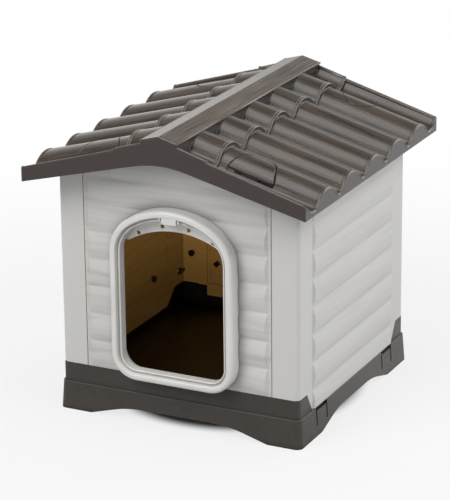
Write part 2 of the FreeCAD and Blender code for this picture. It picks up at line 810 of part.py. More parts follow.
def wave_chain(x, lift, depth):
    """The tiles' outer surface in the plane at `x`, `depth` inside it, from -Y to +Y.

    `lift` raises the whole section. Returns the edges and both end points."""
    valley_z = eave_valley_height + (roof_half_width - x) * slope + lift
    crest_centre_z = valley_z + tile_depth - tile_crest_radius
    valley_centre_z = valley_z + tile_valley_radius
    edge_y = roof_half_depth - roof_thickness
    run = edge_y - outer_valley_y
    cove_radius = (run ** 2 + cove_rise ** 2) / (2 * cove_rise)
    cove_centre_z = valley_z + cove_radius
    crest = tile_crest_radius - depth
    valley = tile_valley_radius + depth
    cove = cove_radius + depth
    turn = math.asin(run / cove) / 2

    def cove_point(sign, angle):
        return Vector(x, sign * (outer_valley_y + cove * math.sin(angle)),
                      cove_centre_z - cove * math.cos(angle))

    def valley_point(valley_y, angle):
        return Vector(x, valley_y + valley * math.sin(angle),
                      valley_centre_z - valley * math.cos(angle))

    first = cove_point(-1, 2 * turn)
    edges = [arc_through(first, cove_point(-1, turn), cove_point(-1, 0))]
    for tile in range(tiles_per_slope):
        low_y = -outer_valley_y + tile * tile_pitch
        high_y = low_y + tile_pitch
        rise_end = valley_point(low_y, tile_arc_angle)
        fall_start = valley_point(high_y, -tile_arc_angle)
        edges.append(arc_through(valley_point(low_y, 0), valley_point(low_y, tile_arc_angle / 2),
                                 rise_end))
        edges.append(arc_through(rise_end, Vector(x, low_y + tile_pitch / 2,
                                                  crest_centre_z + crest), fall_start))
        edges.append(arc_through(fall_start, valley_point(high_y, -tile_arc_angle / 2),
                                 valley_point(high_y, 0)))
    last = cove_point(1, 2 * turn)
    edges.append(arc_through(cove_point(1, 0), cove_point(1, turn), last))
    return edges, first, last


def closed_section(upper_chain, lower_chain):
    upper, upper_first, upper_last = upper_chain
    lower, lower_first, lower_last = lower_chain
    closing = [Part.makeLine(upper_last, lower_last), Part.makeLine(lower_first, upper_first)]
    return Part.Face(Part.Wire(Part.__sortEdges__(upper + lower + closing)))


def tile_sheet(x_low, x_high, top_lift, bottom_lift):
    """A length of the tiled sheet on the right slope, from `x_low` up to `x_high`."""
    run = x_low - x_high
    face = closed_section(wave_chain(x_low, top_lift, 0),
                          wave_chain(x_low, bottom_lift, roof_thickness))
    return face.extrude(Vector(-run, 0, run * slope))


def eave_fascia():
    """The upright wall along the eave, which closes the ends of the tiles."""
    x = roof_half_width
    first = Vector(x, -roof_half_depth + roof_thickness, eave_bottom_height)
    last = Vector(x, roof_half_depth - roof_thickness, eave_bottom_height)
    flat = ([Part.makeLine(first, last)], first, last)
    face = closed_section(wave_chain(x, 0, 0), flat)
    return face.extrude(Vector(-roof_thickness, 0, 0))


def over_valleys(x, rise):
    """The height `rise` above the line of the lower course's valleys."""
    return eave_valley_height + rise + (roof_half_width - x) * slope


def trim_plate():
    """The right half of a gable trim, in the plane of the front gable."""
    y0 = -roof_half_depth
    join = course_end - course_overlap
    top_points = [(course_end, over_valleys(course_end, trim_course_rise)),
                  (join, over_valleys(join, trim_step_rise)),
                  (ridge_half_width, over_valleys(ridge_half_width, trim_ridge_rise)),
                  (ridge_half_width, over_valleys(ridge_half_width, cap_rise)),
                  (0, over_valleys(0, cap_rise))]
    lean = math.atan(trim_under_slope)
    arch_x = trim_arch_radius * math.sin(lean)
    arch_z = eave_bottom_height + (roof_half_width - arch_x) * trim_under_slope
    apex_z = arch_z + trim_arch_radius * (1 - math.cos(lean))
    arch_middle = Vector(trim_arch_radius * math.sin(lean / 2), y0,
                         apex_z - trim_arch_radius * (1 - math.cos(lean / 2)))
    radius = trim_corner_radius
    corner_z = over_valleys(roof_half_width, trim_eave_rise)
    top_lean = math.atan2(top_points[0][1] - corner_z, roof_half_width - course_end)
    turn = (math.pi / 2 - top_lean) / 2
    setback = radius * math.tan(turn)
    below = Vector(roof_half_width, y0, corner_z - setback)
    beside = Vector(roof_half_width - setback * math.cos(top_lean), y0,
                    corner_z + setback * math.sin(top_lean))
    centre = Vector(roof_half_width - radius, y0, below.z)
    bend = Vector(centre.x + radius * math.cos(turn), y0, centre.z + radius * math.sin(turn))

    def at(point):
        return Vector(point[0], y0, point[1])

    edges = [Part.makeLine(Vector(roof_half_width, y0, eave_bottom_height), below),
             arc_through(below, bend, beside)]
    last = beside
    for point in top_points:
        edges.append(Part.makeLine(last, at(point)))
        last = at(point)
    apex = Vector(0, y0, apex_z)
    edges.append(Part.makeLine(last, apex))
    edges.append(arc_through(apex, arch_middle, Vector(arch_x, y0, arch_z)))
    edges.append(Part.makeLine(Vector(arch_x, y0, arch_z),
                               Vector(roof_half_width, y0, eave_bottom_height)))
    plate = Part.Face(Part.Wire(edges)).extrude(Vector(0, roof_thickness, 0))

    def outer(edge):
        box_of_edge = edge.BoundBox
        x, z = box_of_edge.Center.x, box_of_edge.Center.z
        high = z > over_valleys(x, trim_eave_rise) - radius
        return (box_of_edge.YMax < y0 + bite and box_of_edge.XMax > bite
                and (high or box_of_edge.XMin > roof_half_width - bite))

    return plate.makeFillet(trim_edge_radius, [edge for edge in plate.Edges if outer(edge)])


def half_ridge_cap():
    """The right half of the cap over the ridge, closed down to the upper course."""
    top = over_valleys(0, cap_rise)
    side_top = over_valleys(ridge_half_width, cap_rise)
    end_y = roof_half_depth - trim_edge_radius
    roof = prism_xz([(0, top), (ridge_half_width, side_top),
                     (ridge_half_width, side_top - skin_height), (0, top - skin_height)],
                    -end_y, end_y)
    edge_y = roof_half_depth - roof_thickness / 2
    side_low = over_valleys(ridge_half_width, course_step) - skin_height / 2
    side = box(ridge_half_width - roof_thickness, ridge_half_width, -edge_y, edge_y,
               side_low, side_top - skin_height / 2)
    under = tile_sheet(ridge_half_width + bite, ridge_half_width - 2 * roof_thickness,
                       course_step - roof_thickness / 2, course_step - 2 * tile_depth)
    bead = Part.makeCylinder(ridge_bead_radius, 2 * end_y,
                             Vector(ridge_half_width, -end_y,
                                    side_top - ridge_bead_radius), Vector(0, 1, 0))
    return fuse([roof, side.cut(under), bead])


def on_slope(shape):
    """Moves a shape from the slope's own frame to the right slope.

    There X runs down the slope, Y is unchanged and Z = 0 is the line of the crests."""
    placed = shape.copy()
    turn = FreeCAD.Rotation(Vector(0, 1, 0), roof_pitch_degrees)
    placed.Placement = FreeCAD.Placement(Vector(0, 0, ridge_crest_height), turn)
    return placed


def below_crest(y):
    """The depth of the tiles' outer surface at `y`, square to the slope."""
    return tile_drop(y, 0) * math.cos(pitch)


def along(x, y):
    """The distance down the slope of the point of the tiles over (`x`, `y`)."""
    return (x + below_crest(y) * math.sin(pitch)) / math.cos(pitch)


latch_axis_depth = (below_crest(latch_axis_y) + roof_thickness + latch_pin_cover
                    + latch_pin_radius)


def latch_outline(grow, slit, slot, low, high):
    """The D-shaped prism of a latch in the slope's frame, grown for its opening.

    The opening runs on by `slot` towards the gable trim, beyond the latch's finger edge."""
    def at(corner, down, inward):
        x, y = corner
        return Vector(along(x, y) + down, -y + inward, low)

    corner_low = at((latch_low_corner_x, latch_outer_y), slit, 0)
    inner_corner = at(latch_inner_corner, slit, grow)
    arc_middle = at(latch_arc_middle, 0, grow)
    arc_end = at(latch_arc_end, -grow / 2, grow)
    top_middle = at(latch_top_middle, -grow, grow / 2)
    corner_high = at((latch_high_corner_x, latch_outer_y), -grow, 0)
    edges = [Part.makeLine(corner_low, inner_corner),
             arc_through(inner_corner, arc_middle, arc_end),
             arc_through(arc_end, top_middle, corner_high),
             Part.makeLine(corner_high, corner_low)]
    outline = Part.Face(Part.Wire(edges)).extrude(Vector(0, 0, high - low))
    if slot == 0:
        return outline
    finger_room = box(corner_high.x, corner_low.x, -latch_outer_y - slot, -latch_outer_y + bite,
                      low, high)
    return outline.fuse(finger_room)


def latch_opening(low):
    return latch_outline(latch_seam, latch_end_slit, latch_finger_slot, low, tile_depth)


def latch_span():
    """The latch hinge's run down the slope, as the faces of the lugs beside it."""
    start = along(*latch_top_middle) - 2 * latch_seam
    end = along(latch_low_corner_x, latch_outer_y) + latch_end_slit + fit_gap
    return start, end


def latch_lugs():
    """Two lugs under the tiles, bored for the latch's pin."""
    start, end = latch_span()
    top = -below_crest(latch_axis_y) - roof_thickness / 2
    low = -latch_axis_depth - latch_knuckle_radius
    lugs = [box(start - latch_lug_thickness, start, -latch_axis_y - latch_lug_half_width,
                -latch_axis_y + latch_lug_half_width, low, top),
            box(end, end + latch_lug_thickness, -latch_axis_y - latch_lug_half_width,
                -latch_axis_y + latch_lug_half_width, low, top)]
    bore = Part.makeCylinder(latch_pin_radius + pin_clearance, 2 * far,
                             Vector(-far, -latch_axis_y, -latch_axis_depth), Vector(1, 0, 0))
    return [on_slope(lug.cut(bore)) for lug in lugs]


def latch_pin():
    start, end = latch_span()
    return on_slope(Part.makeCylinder(latch_pin_radius,
                                      end - start + 2 * latch_lug_thickness,
                                      Vector(start - latch_lug_thickness, -latch_axis_y,
                                             -latch_axis_depth), Vector(1, 0, 0)))


def locating_rib():
    """A rib under the right slope that stands just inside the front gable wall."""
    outer = wall_half_depth - wall_thickness - fit_gap
    top = -below_crest(outer - locating_rib_thickness / 2) - roof_thickness / 2
    low = top - locating_rib_depth
    rib = box(along(locating_rib_from, outer), along(locating_rib_to, outer), -outer,
              -outer + locating_rib_thickness, low, top)
    clear = -below_crest(outer) - 2 * roof_thickness
    return on_slope(rib.cut(latch_opening(clear)))


def roof_shell():
    join = course_end - course_overlap
    lower = tile_sheet(roof_half_width, join, 0, 0)
    upper = tile_sheet(course_end, ridge_half_width - roof_thickness, course_step, course_step)
    riser = tile_sheet(course_end, join, course_step - roof_thickness / 2, 0)
    eave_band = tile_sheet(roof_half_width, roof_half_width - lip_band, lip_band_rise, 0)
    course_band = tile_sheet(course_end, course_end - lip_band, course_step + lip_band_rise,
                             course_step)
    half = fuse([lower, upper, riser, eave_band, course_band, eave_fascia(), trim_plate(),
                 mirror_y(trim_plate()), half_ridge_cap()])
    opening = on_slope(latch_opening(-2 * tile_depth))
    half = half.cut(opening).cut(mirror_y(opening))
    additions = latch_lugs() + [locating_rib()]
    additions += [mirror_y(shape) for shape in additions]
    half = fuse([half] + additions)
    return fuse([half, mirror_x(half)])


# The latches

def latch():
    """The latch of the right slope at the front: plate, knuckles and hooked tongue."""
    sheet = tile_sheet(roof_half_width - lip_band - bite, course_end + bite, 0, 0)
    plate = sheet.common(on_slope(latch_outline(0, 0, 0, -2 * tile_depth, tile_depth)))
    axis = Vector(0, -latch_axis_y, -latch_axis_depth)
    start = along(*latch_top_middle) + latch_knuckle_length
    end = along(*latch_inner_corner) - latch_seam
    knuckles = []
    for first in (start, end - latch_knuckle_length):
        barrel = Part.makeCylinder(latch_knuckle_radius, latch_knuckle_length,
                                   Vector(first, axis.y, axis.z), Vector(1, 0, 0))
        web = box(first, first + latch_knuckle_length, axis.y - latch_knuckle_radius,
                  axis.y + latch_knuckle_radius, axis.z,
                  -below_crest(latch_axis_y) - roof_thickness / 2)
        knuckles.append(barrel.fuse(web))
    bore = Part.makeCylinder(latch_pin_radius + pin_clearance, 2 * far,
                             Vector(-far, axis.y, axis.z), Vector(1, 0, 0))
    middle = along(latch_middle_x, wall_half_depth)
    outer = -latch_outer_y + latch_tongue_setback
    inner = outer + latch_tongue_thickness
    low = -latch_tongue_bottom
    tongue_top = -below_crest(outer) - roof_thickness / 4
    tongue = box(middle - latch_tongue_width / 2, middle + latch_tongue_width / 2,
                 outer, inner, low, tongue_top)
    nose = box(middle - latch_tongue_width / 2, middle + latch_tongue_width / 2,
               inner - bite, inner + latch_nose_reach, low, low + latch_nose_height)
    extras = [on_slope(shape.cut(bore)) for shape in knuckles] + [on_slope(tongue), on_slope(nose)]
    return fuse([plate] + extras)


def latch_catches():
    """The catches outside the front gable wall that the latch noses lie under."""
    middle = along(latch_middle_x, wall_half_depth)
    high = -latch_tongue_bottom + latch_nose_height + catch_nose_gap + catch_height
    face_y = -wall_half_depth
    section = [(face_y + bite, high), (face_y, high), (face_y - catch_reach, high - catch_reach),
               (face_y - catch_reach, high - catch_height), (face_y + bite, high - catch_height)]
    catch = on_slope(prism_yz(section, middle - catch_width / 2, middle + catch_width / 2))
    return [catch, mirror_x(catch)]


def latch_lands():
    """The flat places of the gable walls under the latches, as cutting solids."""
    middle = latch_middle_x
    half = latch_tongue_width / 2 + latch_land_margin
    land = box(middle - half, middle + half, -far, far,
               board_first_groove + latch_land_course * board_pitch, 2 * far)
    return Part.makeCompound([land, mirror_x(land)])


# Studs, drain and ventilator

def stud_head(kind):
    """A stud's head on the plane z = 0, facing up, with its wings along X."""
    side = stud_diamond_side
    if kind == "diamond":
        head = box(-side / 2, side / 2, -side / 2, side / 2, 0, stud_head_thickness)
        head.rotate(Vector(0, 0, 0), Vector(0, 0, 1), 45)
        return head
    head = Part.makeCylinder(stud_head_radius, stud_head_thickness)
    if kind == "winged":
        head = head.fuse(box(-stud_wing_length / 2, stud_wing_length / 2, -stud_wing_width / 2,
                             stud_wing_width / 2, stud_head_thickness / 2, stud_head_thickness))
    return head


def stud(at, inward, kind):
    """A push-in stud whose head lies on its boss."""
    stem = Part.makeCylinder(stud_stem_radius, stud_stem_length - bite, Vector(0, 0, 0),
                             Vector(0, 0, -1))
    shape = fuse([stem, stud_head(kind)])
    across = Vector(0, 0, 1).cross(inward)
    shape.Placement = FreeCAD.Placement(at + inward * stud_boss_height,
                                        FreeCAD.Rotation(across, Vector(0, 0, 1), inward))
    return shape


def drain_plug():
    """The plug that lifts out of the drain, with a grip bar across its top."""
    seat_z = floor_height + platform_rise - drain_seat_depth + drain_seal_height
    flange = Part.makeCylinder(drain_flange_radius, drain_flange_thickness, Vector(0, 0, seat_z))
    stem_radius = drain_hole_radius - drain_stem_gap
    stem = Part.makeCylinder(stem_radius, drain_stem_length,
                             Vector(0, 0, seat_z - drain_stem_length))
    stem = stem.cut(Part.makeCylinder(stem_radius - floor_thickness, drain_stem_length,
                                      Vector(0, 0, seat_z - drain_stem_length - bite)))
    top = seat_z + drain_flange_thickness
    grip = box(-drain_grip_length / 2, drain_grip_length / 2, -drain_grip_width / 2,
               drain_grip_width / 2, top - bite, top + drain_grip_height)
    return fuse([flange, stem, grip])


def drain_seal():
    """The flat ring under the plug's flange."""
    seat_z = floor_height + platform_rise - drain_seat_depth
    outer = Part.makeCylinder(drain_flange_radius, drain_seal_height, Vector(0, 0, seat_z))
    inner = Part.makeCylinder(drain_flange_radius - drain_seal_width, drain_seal_height,
                              Vector(0, 0, seat_z))
    return outer.cut(inner)


def vent_block(half_width, half_height, radius, y0, y1):
    """A rounded block around the ventilator's middle, in front-facing coordinates."""
    block = rounded_prism(half_width, half_height, radius, 0, y1 - y0)
    block.rotate(Vector(0, 0, 0), Vector(1, 0, 0), -90)
    block.translate(Vector(0, y0, vent_height))
    return block


def vent_slot_cuts(y0, y1, shift):
    cuts = []
    for slot in range(vent_slots):
        x = (slot - (vent_slots - 1) / 2) * vent_slot_pitch + shift
        cuts.append(box(x - vent_slot_width / 2, x + vent_slot_width / 2, y0, y1,
                        vent_height - vent_slot_height / 2, vent_height + vent_slot_height / 2))
    return Part.makeCompound(cuts)


def shutter_front_y():
    return -wall_half_depth + shutter_gap


def vent_grille():
    """The slotted cover in the back wall, with the rails that its shutter slides in."""
    face_y = -wall_half_depth
    plate = vent_block(vent_half_width, vent_half_height, vent_corner_radius,
                       face_y - vent_plate_thickness, face_y)
    rear_y = shutter_front_y() + shutter_thickness + shutter_gap + vent_tail_wall
    tail = vent_block(vent_tail_half_width, vent_tail_half_height, vent_tail_radius,
                      face_y - vent_plate_thickness / 2, rear_y)
    hollow = vent_block(vent_tail_half_width - vent_tail_wall,
                        vent_tail_half_height - vent_tail_wall, vent_tail_radius / 2, face_y, 0)
    rails = []
    for sign in (-1, 1):
        z0, z1 = sorted((vent_height + sign * (vent_tail_half_height - vent_tail_wall
                                               - vent_rail_height),
                         vent_height + sign * vent_tail_half_height))
        rails.append(box(-vent_tail_half_width + vent_tail_radius,
                         vent_tail_half_width - vent_tail_radius,
                         rear_y - vent_tail_wall, rear_y, z0, z1))
    grille = fuse([plate.fuse(tail).cut(hollow)] + rails)
    return mirror_y(grille.cut(vent_slot_cuts(-far, 0, 0)))


def vent_shutter():
    """The slotted slide behind the grille, open as stored, with a finger tab."""
    front_y = shutter_front_y()
    back_y = front_y + shutter_thickness
    half_height = vent_tail_half_height - vent_tail_wall - shutter_gap
    half_width = vent_tail_half_width - vent_tail_wall - shutter_gap - shutter_travel / 2
    centre = -shutter_travel / 2
    slide = box(centre - half_width, centre + half_width, front_y, back_y,
                vent_height - half_height, vent_height + half_height)
    slide = slide.cut(vent_slot_cuts(-far, 0, 0))
    knob_x = vent_slot_pitch / 2
    knob = box(knob_x - shutter_knob_half_width, knob_x + shutter_knob_half_width,
               back_y - bite, back_y + shutter_knob_reach,
               vent_height - shutter_knob_half_height, vent_height + shutter_knob_half_height)
    return mirror_y(slide.fuse(knob).removeSplitter())


# Every node of the kennel

def nodes():
    right_panel = right_side_panel()
    front_right_latch = latch()
    latches = four_corners(front_right_latch)
    side_spots = side_studs()
    round_studs = [stud(*spot) for spot in side_spots if spot[2] == "round"]
    winged_studs = [stud(*spot) for spot in side_spots if spot[2] == "winged"]
    diamond_studs = [stud(*spot) for spot in end_studs()]
    return {
        "base_tray": base_tray(),
        "right_side_panel": right_panel,
        "left_side_panel": mirror_x(right_panel),
        "front_panel": front_panel(),
        "back_panel": back_panel(),
        "door_frame": door_frame(),
        "roof_shell": roof_shell(),
        "roof_latch_front_right": latches[0],
        "roof_latch_front_left": latches[1],
        "roof_latch_rear_right": latches[2],
        "roof_latch_rear_left": latches[3],
        "roof_latch_pins": Part.makeCompound(four_corners(latch_pin())),
        "round_studs": Part.makeCompound(round_studs + [mirror_x(s) for s in round_studs]),
        "winged_studs": Part.makeCompound(winged_studs + [mirror_x(s) for s in winged_studs]),
        "diamond_studs": Part.makeCompound(diamond_studs + [mirror_y(s) for s in diamond_studs]),
        "drain_plug": drain_plug(),
        "drain_seal": drain_seal(),
        "vent_grille": vent_grille(),
        "vent_shutter": vent_shutter(),
    }


os.makedirs("parts", exist_ok=True)
for name, shape in nodes().items():
    shape.exportStep("parts/" + name + ".step")
    size = shape.BoundBox
    print(name, len(shape.Solids), "solids", "valid" if shape.isValid() else "INVALID",
          "x %.1f..%.1f y %.1f..%.1f z %.1f..%.1f" % (size.XMin, size.XMax, size.YMin,
                                                      size.YMax, size.ZMin, size.ZMax))
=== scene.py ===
import math

import bmesh
import bpy
from mathutils import Matrix, Vector


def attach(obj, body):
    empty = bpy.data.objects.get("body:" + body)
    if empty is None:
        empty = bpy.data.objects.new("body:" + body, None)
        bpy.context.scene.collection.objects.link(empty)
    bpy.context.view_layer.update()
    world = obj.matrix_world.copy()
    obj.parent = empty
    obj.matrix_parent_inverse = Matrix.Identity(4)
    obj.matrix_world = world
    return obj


# An outdoor dog kennel of moulded plastic on a pale floor, in metres.
# +X is to the right seen from the front, the doorway faces -Y and +Z is up.

MM = 0.001

# The roof's sizes, as in the solids
SLOPE_ANGLE = math.radians(15.3)
SLOPE = math.tan(SLOPE_ANGLE)
ROOF_HALF_WIDTH = 265.4 * MM
ROOF_HALF_DEPTH = 287.0 * MM
EAVE_VALLEY_HEIGHT = 436.5 * MM
EAVE_BOTTOM_HEIGHT = 428.0 * MM
RIDGE_VALLEY_HEIGHT = EAVE_VALLEY_HEIGHT + ROOF_HALF_WIDTH * SLOPE
TILE_PITCH = 100.0 * MM
TILE_DEPTH = 24.0 * MM
TILE_VALLEY_RADIUS = 14.0 * MM
TILE_COUNT = 5
COVE_RISE = 17.0 * MM
TRIM_EAVE_RISE = 17.5 * MM
TRIM_COURSE_RISE = 21.0 * MM
TRIM_STEP_RISE = 23.6 * MM
TRIM_RIDGE_RISE = 25.3 * MM
CAP_RISE = 31.0 * MM
TRIM_THICKNESS = 3.0 * MM
TRIM_CORNER_RADIUS = 8.0 * MM
COURSE_STEP = 6.5 * MM
COURSE_END = 88.0 * MM
COURSE_OVERLAP = 4.0 * MM
CAP_HALF_WIDTH = 34.0 * MM
TILE_CREST_RADIUS = ((TILE_PITCH ** 2 / 4 + TILE_DEPTH ** 2) / (2 * TILE_DEPTH)
                     - TILE_VALLEY_RADIUS)
TILE_ARC_ANGLE = math.asin(TILE_PITCH / 2 / (TILE_CREST_RADIUS + TILE_VALLEY_RADIUS))
OUTER_VALLEY_Y = TILE_PITCH * TILE_COUNT / 2

# Where the materials, their grain and their painted shade change on the walls, in the cabin and on
# the roof
SIDE_BOARD_HALF_LENGTH = 171.7 * MM
END_BOARD_HALF_LENGTH = 177.0 * MM
END_BOARD_DEPTH = 227.0 * MM
LATCH_ZONE_START = 110.0 * MM
LATCH_ZONE_END = 186.0 * MM
LATCH_ZONE_DEPTH = 195.0 * MM
CABIN_HALF_WIDTH = 223.0 * MM
CABIN_HALF_DEPTH = 221.0 * MM
CABIN_FLOOR_HEIGHT = 39.0 * MM
TILES_HALF_DEPTH = 280.0 * MM
EAVE_LIP_START = ROOF_HALF_WIDTH - 1.5 * MM
CAP_EDGE = CAP_HALF_WIDTH + 0.5 * MM

# Rounded lips that the scene adds to the roof's edges
EAVE_LIP_RADIUS = 2.4 * MM
EAVE_LIP_REACH = 1.1 * MM
EAVE_LIP_DROP = 2.1 * MM
COURSE_LIP_RADIUS = 1.5 * MM
COURSE_LIP_INSET = 0.9 * MM
COURSE_LIP_SPACING = 4.2 * MM
COURSE_LIP_DROP = 0.2 * MM
TRIM_ROLL_RADIUS = 3.4 * MM
TRIM_CORNER_STEPS = 6
CAP_LIP_RADIUS = 2.1 * MM
CAP_LIP_DROP = 1.68 * MM
CAP_LIP_END_GAP = 0.3 * MM
LIP_SIDES = 12
WAVE_STEP = 2.0 * MM
NEARLY_PARALLEL = 0.1
LEAST_MITRE_COSINE = 0.5

# The camera, as fitted to the photograph
CAMERA_AZIMUTH = 26.32
CAMERA_ELEVATION = 19.17
CAMERA_ROLL = math.radians(-0.62)
CAMERA_TARGET = Vector((-0.0175, -0.0086, 0.2522))
CAMERA_DISTANCE = 4.501
CAMERA_LENS = 182.4
CAMERA_SENSOR_WIDTH = 36.0
CAMERA_FAR_END = 50.0

# The cycles of the materials' noise in a metre, and the samples of their shading nodes
MOULD_SKIN = 900.0
GRAIN_ALONG_BOARDS = 7.0
GRAIN_ACROSS_BOARDS = 330.0
CLOUDS_ALONG_BOARDS = 5.0
CLOUDS_ACROSS_BOARDS = 70.0
WANDER_ACROSS_BOARDS = 22.0
GRAIN_ALONG_TILES = 8.0
GRAIN_ACROSS_TILES = 480.0
SHADING_SAMPLES = 6

# The lamps: name, azimuth and elevation in degrees, distance, width and level.
# A lamp of level 1 facing a surface shows the surface's colour as it is written.
LAMPS = (
    ("key_lamp", -25, 42, 4.0, 2.4, 0.66),
    ("right_lamp", 78, 44, 4.0, 2.0, 0.43),
    ("top_lamp", 15, 87, 3.2, 1.8, 0.36),
    ("rim_lamp", 150, 25, 4.0, 2.4, 0.34),
    ("left_rear_lamp", 230, 20, 4.0, 3.0, 0.07),
)
LAMP_TARGET = Vector((0, 0, 0.27))

# The world's light by the height of its direction, and what glossy surfaces mirror
AMBIENT_HORIZON = 0.5
AMBIENT_OVERHEAD = 0.36
AMBIENT_FADE = (0.05, 0.7)
ROOM_GREY = 0.3
BACKDROP_FADE = (0.18, 0.6)
BACKDROP_SIDE = (-0.4, 0.3)

# The floor, which fades to white outwards and is left dark under the kennel
FLOOR_HALF_WIDTH = 8.0
FLOOR_GREY = 0.5
FLOOR_WHITE_SHARE = 0.78
FLOOR_FADE = (0.5, 1.6)
FLOOR_UNDER_KENNEL = (0.2, 0.24)
FLOOR_MIRRORED_GREY = 0.85
FLOOR_MIRRORED_FADE = (-0.5, 0.3)

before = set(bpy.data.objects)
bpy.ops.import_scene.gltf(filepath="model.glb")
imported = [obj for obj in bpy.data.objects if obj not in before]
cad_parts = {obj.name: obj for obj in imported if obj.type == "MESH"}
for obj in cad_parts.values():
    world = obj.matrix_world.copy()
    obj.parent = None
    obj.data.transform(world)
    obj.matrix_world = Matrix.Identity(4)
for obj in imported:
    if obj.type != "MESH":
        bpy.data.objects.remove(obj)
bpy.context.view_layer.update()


# Lips along the roof's edges

def tile_height(y):
    """The height of the tiles' surface over their valleys at `y`, with the coves at both ends."""
    beyond = abs(y) - OUTER_VALLEY_Y
    if beyond > 0:
        run = ROOF_HALF_DEPTH - TRIM_THICKNESS - OUTER_VALLEY_Y
        radius = (run ** 2 + COVE_RISE ** 2) / (2 * COVE_RISE)
        return radius - math.sqrt(radius ** 2 - beyond ** 2)
    from_crest = abs(abs(y) - round(abs(y) / TILE_PITCH) * TILE_PITCH)
    if from_crest < TILE_CREST_RADIUS * math.sin(TILE_ARC_ANGLE):
        return (TILE_DEPTH - TILE_CREST_RADIUS
                + math.sqrt(TILE_CREST_RADIUS ** 2 - from_crest ** 2))
    from_valley = TILE_PITCH / 2 - from_crest
    return TILE_VALLEY_RADIUS - math.sqrt(TILE_VALLEY_RADIUS ** 2 - from_valley ** 2)


def over_valleys(x, rise):
    """The height `rise` above the line of the lower course's valleys on either slope."""
    return EAVE_VALLEY_HEIGHT + rise + (ROOF_HALF_WIDTH - abs(x)) * SLOPE


def wave_path(x, lift, half_length):
    """Points across all tiles at `x`, `lift` above their surface."""
    count = round(2 * half_length / WAVE_STEP)
    ys = [-half_length + 2 * half_length * i / count for i in range(count + 1)]
    return [Vector((x, y, over_valleys(x, lift) + tile_height(y))) for y in ys]


def add_tube(mesh, path, radius):
    """Adds a closed round tube along a path to a bmesh, mitred at its bends."""
    rings = []
    for i, point in enumerate(path):
        before = (point - path[i - 1]).normalized() if i else None
        after = (path[i + 1] - point).normalized() if i + 1 < len(path) else None
        along = ((before or after) + (after or before)).normalized()
        side = along.cross(Vector((1, 0, 0)))
        if side.length < NEARLY_PARALLEL:
            side = along.cross(Vector((0, 1, 0)))
        side.normalize()
        up = side.cross(along)
        stretch = 1 / max(LEAST_MITRE_COSINE, along.dot(before or after))
        ring = []
        for k in range(LIP_SIDES):
            turn = 2 * math.pi * k / LIP_SIDES
            ring.append(mesh.verts.new(point + radius * (stretch * math.cos(turn) * side
                                                         + math.sin(turn) * up)))
        rings.append(ring)
    for first, second in zip(rings, rings[1:]):
        for k in range(LIP_SIDES):
            after = (k + 1) % LIP_SIDES
            mesh.faces.new((first[k], first[after], second[after], second[k]))
    mesh.faces.new(rings[0][::-1])
    mesh.faces.new(rings[-1])


def tube_piece(name, paths, radius, material):
    """One piece of round tubes that rides on the roof, smooth along its sides."""
    mesh = bmesh.new()
    for path in paths:
        add_tube(mesh, path, radius)
    bmesh.ops.recalc_face_normals(mesh, faces=mesh.faces)
    for face in mesh.faces:
        face.smooth = len(face.verts) == 4
    data = bpy.data.meshes.new(name)
    mesh.to_mesh(data)
    mesh.free()
    data.materials.append(material)
    piece = bpy.data.objects.new(name, data)
    bpy.context.scene.collection.objects.link(piece)
    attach(piece, "roof")


def trim_roll_path(side, y):
    """The line of a trim's rolled top edge, from the eave's corner up to the ridge cap."""
    inset = TRIM_ROLL_RADIUS
    corner_z = over_valleys(ROOF_HALF_WIDTH, TRIM_EAVE_RISE)
    course_z = over_valleys(COURSE_END, TRIM_COURSE_RISE)
    lean = math.atan2(course_z - corner_z, ROOF_HALF_WIDTH - COURSE_END)
    turn = math.pi / 2 - lean
    centre_x = ROOF_HALF_WIDTH - TRIM_CORNER_RADIUS
    centre_z = corner_z - TRIM_CORNER_RADIUS * math.tan(turn / 2)
    radius = TRIM_CORNER_RADIUS - inset
    points = [(ROOF_HALF_WIDTH - inset, EAVE_BOTTOM_HEIGHT + inset)]
    for i in range(TRIM_CORNER_STEPS + 1):
        angle = turn * i / TRIM_CORNER_STEPS
        points.append((centre_x + radius * math.cos(angle), centre_z + radius * math.sin(angle)))
    for x, rise in ((COURSE_END, TRIM_COURSE_RISE), (COURSE_END - COURSE_OVERLAP, TRIM_STEP_RISE),
                    (CAP_HALF_WIDTH, TRIM_RIDGE_RISE)):
        points.append((x, over_valleys(x, rise) - inset / math.cos(lean)))
    return [Vector((side * x, y, z)) for x, z in points]


def add_roof_lips(material):
    """Adds the lips of the eaves, course ends, gable trims and ridge cap, on both sides."""
    inner = ROOF_HALF_DEPTH - TRIM_THICKNESS
    roll_y = ROOF_HALF_DEPTH - TRIM_ROLL_RADIUS
    cap_y = ROOF_HALF_DEPTH - CAP_LIP_END_GAP
    cap_z = over_valleys(CAP_HALF_WIDTH, CAP_RISE) - CAP_LIP_DROP
    eave_x = ROOF_HALF_WIDTH + EAVE_LIP_REACH - EAVE_LIP_RADIUS
    course_x = COURSE_END - COURSE_LIP_INSET
    for side, name in ((1, "right"), (-1, "left")):
        eave = wave_path(side * eave_x, -EAVE_LIP_DROP, inner)
        courses = [wave_path(side * x, COURSE_STEP - COURSE_LIP_DROP, inner)
                   for x in (course_x, course_x - COURSE_LIP_SPACING)]
        rolls = [trim_roll_path(side, y) for y in (-roll_y, roll_y)]
        cap = [Vector((side * CAP_HALF_WIDTH, y, cap_z)) for y in (-cap_y, cap_y)]
        tube_piece("eave_lip_" + name, [eave], EAVE_LIP_RADIUS, material)
        tube_piece("course_lip_" + name, courses, COURSE_LIP_RADIUS, material)
        tube_piece("trim_roll_" + name, rolls, TRIM_ROLL_RADIUS, material)
        tube_piece("cap_lip_" + name, [cap], CAP_LIP_RADIUS, material)


# Node trees

